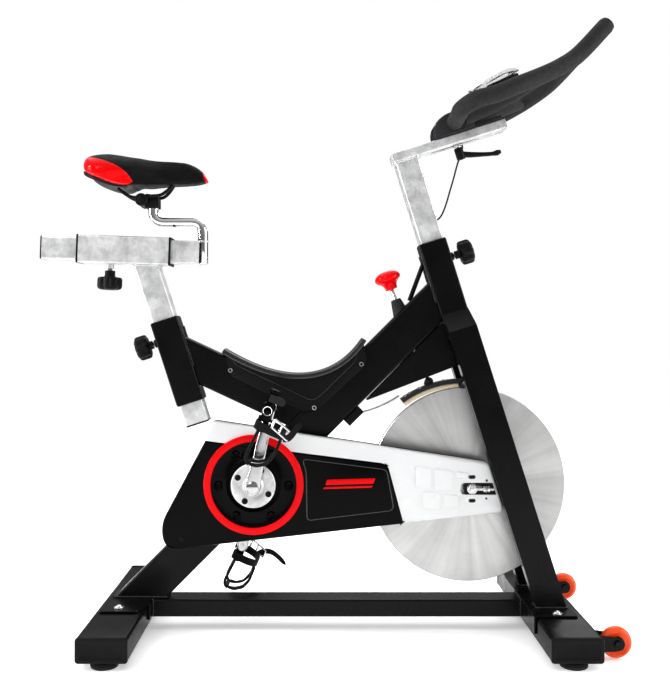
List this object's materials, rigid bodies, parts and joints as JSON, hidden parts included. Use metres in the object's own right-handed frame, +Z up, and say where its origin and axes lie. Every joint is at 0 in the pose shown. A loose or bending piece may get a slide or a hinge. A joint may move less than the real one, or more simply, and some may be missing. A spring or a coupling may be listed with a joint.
{
  "type": "indoor spin bike",
  "caption": "Indoor spin bike: square-tube frame, belt-driven flywheel with push-down felt brake, adjustable saddle and looped handlebar, toe-clip pedals, transport wheels and levelling feet.",
  "frame": {"origin": "on the floor under the middle of the bike's box", "axes": "+X forward towards the flywheel, +Y to the rider's left, +Z up"},
  "size_m": [1.2176, 0.52, 1.295],
  "materials": {
    "frame_paint": "gloss black powder coat",
    "silver_tube": "satin silver with brighter rounded corners",
    "chrome": "polished",
    "machined_steel": "fine turned finish",
    "black_plastic": "satin moulded",
    "white_cover": "gloss",
    "red_gloss": "gloss",
    "saddle_vinyl": "fine-grained matt vinyl",
    "grip_foam": "matt dipped foam",
    "black_rubber": "matt",
    "wheel_pu": "translucent orange-red polyurethane",
    "felt": "wool felt"
  },
  "bodies": {
    "frame": {"rear_stabilizer": "frame_paint", "front_stabilizer": "frame_paint", "rear_plate": "frame_paint", "front_plate": "frame_paint", "bottom_tube": "frame_paint", "main_beam": "frame_paint", "seat_beam": "frame_paint", "seat_sleeve": "frame_paint", "head_tube": "frame_paint", "fork_leg_right": "frame_paint", "fork_leg_left": "frame_paint", "gusset_box": "frame_paint", "sweat_guard": "black_plastic", "belt_cover_outer": "white_cover", "belt_cover_inner": "black_plastic", "cover_ring": "red_gloss", "flywheel_axle": "machined_steel", "drive_belt": "black_rubber", "brake_leaf": "machined_steel", "knob_housing": "black_plastic", "wheel_bracket_right": "frame_paint", "wheel_bracket_left": "frame_paint"},
    "seat_post": {"seat_post": "silver_tube", "rail_sleeve": "silver_tube"},
    "seat_slider": {"seat_slider": "silver_tube", "seat_stem": "chrome", "saddle_clamp": "black_plastic"},
    "saddle": {"rail_clamp": "black_plastic", "saddle_rails": "black_plastic", "saddle_base": "black_plastic", "saddle_pad": "saddle_vinyl"},
    "slider_knob": {"slider_knob": "black_plastic"},
    "seat_pin": {"seat_pin_knob": "black_plastic"},
    "handlebar_post": {"handlebar_post": "silver_tube", "handlebar_rail": "silver_tube", "console_cable": "black_rubber"},
    "handlebar": {"handlebar": "grip_foam", "handlebar_clamp": "black_plastic", "console": "white_cover"},
    "clamp_lever": {"clamp_lever": "black_plastic"},
    "head_pin": {"head_pin_knob": "black_plastic"},
    "flywheel": {"flywheel": "machined_steel"},
    "crank": {"crank_axle": "machined_steel", "crank_right": "chrome", "crank_left": "chrome", "drive_pulley": "black_plastic"},
    "pedal_right": {"pedal_right": "black_plastic", "toe_clip_right": "black_plastic"},
    "pedal_left": {"pedal_left": "black_plastic", "toe_clip_left": "black_plastic"},
    "tension_rod": {"brake_rod": "machined_steel"},
    "tension_knob": {"resistance_knob": "red_gloss"},
    "brake_shoe": {"brake_holder": "black_plastic", "brake_pad": "felt"},
    "wheel_right": {"transport_wheel_right": "wheel_pu"},
    "wheel_left": {"transport_wheel_left": "wheel_pu"},
    "foot_rear_right": {"foot_rear_right": "black_rubber"},
    "foot_rear_left": {"foot_rear_left": "black_rubber"},
    "foot_front_right": {"foot_front_right": "black_rubber"},
    "foot_front_left": {"foot_front_left": "black_rubber"}
  },
  "joints": [
    {"name": "seat_height", "type": "slide", "parent": "frame", "child": "seat_post", "axis": [-0.309, 0, 0.9511], "range_m": [-0.09, 0.14]},
    {"name": "seat_fore_aft", "type": "slide", "parent": "seat_post", "child": "seat_slider", "axis": [0.9994, 0, -0.0349], "range_m": [-0.045, 0.075]},
    {"name": "saddle_tilt", "type": "hinge", "parent": "seat_slider", "child": "saddle", "pos_m": [-0.3919, 0, 0.93], "axis": [0, 1, 0], "range_deg": [-8, 8]},
    {"name": "slider_knob_turn", "type": "hinge", "parent": "seat_post", "child": "slider_knob", "pos_m": [-0.46318, 0, 0.82245], "axis": [0.0349, 0, 0.9994], "range_deg": [-360, 360]},
    {"name": "seat_pin_pull", "type": "slide", "parent": "frame", "child": "seat_pin", "axis": [-0.9511, 0, -0.309], "range_m": [0, 0.012], "stiffness_N_per_m": 1200},
    {"name": "handlebar_height", "type": "slide", "parent": "frame", "child": "handlebar_post", "axis": [-0.2974, 0, 0.9548], "range_m": [-0.03, 0.11]},
    {"name": "handlebar_fore_aft", "type": "slide", "parent": "handlebar_post", "child": "handlebar", "axis": [0.9548, 0, 0.2974], "range_m": [-0.05, 0.04]},
    {"name": "clamp_lever_swing", "type": "hinge", "parent": "handlebar", "child": "clamp_lever", "pos_m": [0.2999, 0, 1.0335], "axis": [-0.2974, 0, 0.9548], "range_deg": [-110, 0]},
    {"name": "head_pin_pull", "type": "slide", "parent": "frame", "child": "head_pin", "axis": [0.9548, 0, 0.2974], "range_m": [0, 0.012], "stiffness_N_per_m": 1200},
    {"name": "flywheel_spin", "type": "hinge", "parent": "frame", "child": "flywheel", "pos_m": [0.3158, 0, 0.313], "axis": [0, 1, 0], "continuous": true},
    {"name": "crank_spin", "type": "hinge", "parent": "frame", "child": "crank", "pos_m": [-0.1462, 0, 0.322], "axis": [0, 1, 0], "continuous": true},
    {"name": "pedal_right_spin", "type": "hinge", "parent": "crank", "child": "pedal_right", "pos_m": [-0.10927, 0, 0.48999], "axis": [0, 1, 0], "continuous": true},
    {"name": "pedal_left_spin", "type": "hinge", "parent": "crank", "child": "pedal_left", "pos_m": [-0.18313, 0, 0.15401], "axis": [0, 1, 0], "continuous": true},
    {"name": "tension_push", "type": "slide", "parent": "frame", "child": "tension_rod", "axis": [0.3543, 0, -0.9351], "range_m": [0, 0.0033], "stiffness_N_per_m": 4000},
    {"name": "tension_knob_turn", "type": "hinge", "parent": "tension_rod", "child": "tension_knob", "pos_m": [0.1438, 0, 0.756], "axis": [-0.3543, 0, 0.9351], "range_deg": [-360, 720]},
    {"name": "brake_swing", "type": "hinge", "parent": "frame", "child": "brake_shoe", "pos_m": [0.3078, 0, 0.533], "axis": [0, -1, 0], "range_deg": [0, 2.6]},
    {"name": "wheel_right_spin", "type": "hinge", "parent": "frame", "child": "wheel_right", "pos_m": [0.5778, -0.19, 0.033], "axis": [0, 1, 0], "continuous": true},
    {"name": "wheel_left_spin", "type": "hinge", "parent": "frame", "child": "wheel_left", "pos_m": [0.5778, 0.19, 0.033], "axis": [0, 1, 0], "continuous": true},
    {"name": "foot_rear_right_turn", "type": "hinge", "parent": "frame", "child": "foot_rear_right", "pos_m": [-0.4224, -0.229, 0], "axis": [0, 0, 1], "range_deg": [-360, 360]},
    {"name": "foot_rear_left_turn", "type": "hinge", "parent": "frame", "child": "foot_rear_left", "pos_m": [-0.4224, 0.229, 0], "axis": [0, 0, 1], "range_deg": [-360, 360]},
    {"name": "foot_front_right_turn", "type": "hinge", "parent": "frame", "child": "foot_front_right", "pos_m": [0.4836, -0.229, 0], "axis": [0, 0, 1], "range_deg": [-360, 360]},
    {"name": "foot_front_left_turn", "type": "hinge", "parent": "frame", "child": "foot_front_left", "pos_m": [0.4836, 0.229, 0], "axis": [0, 0, 1], "range_deg": [-360, 360]}
  ],
  "couplings": [
    {"joint": "crank_spin", "follows": "flywheel_spin", "ratio": 0.375},
    {"joint": "brake_swing", "follows": "tension_push", "rad_per_m": 13.46}
  ]
}
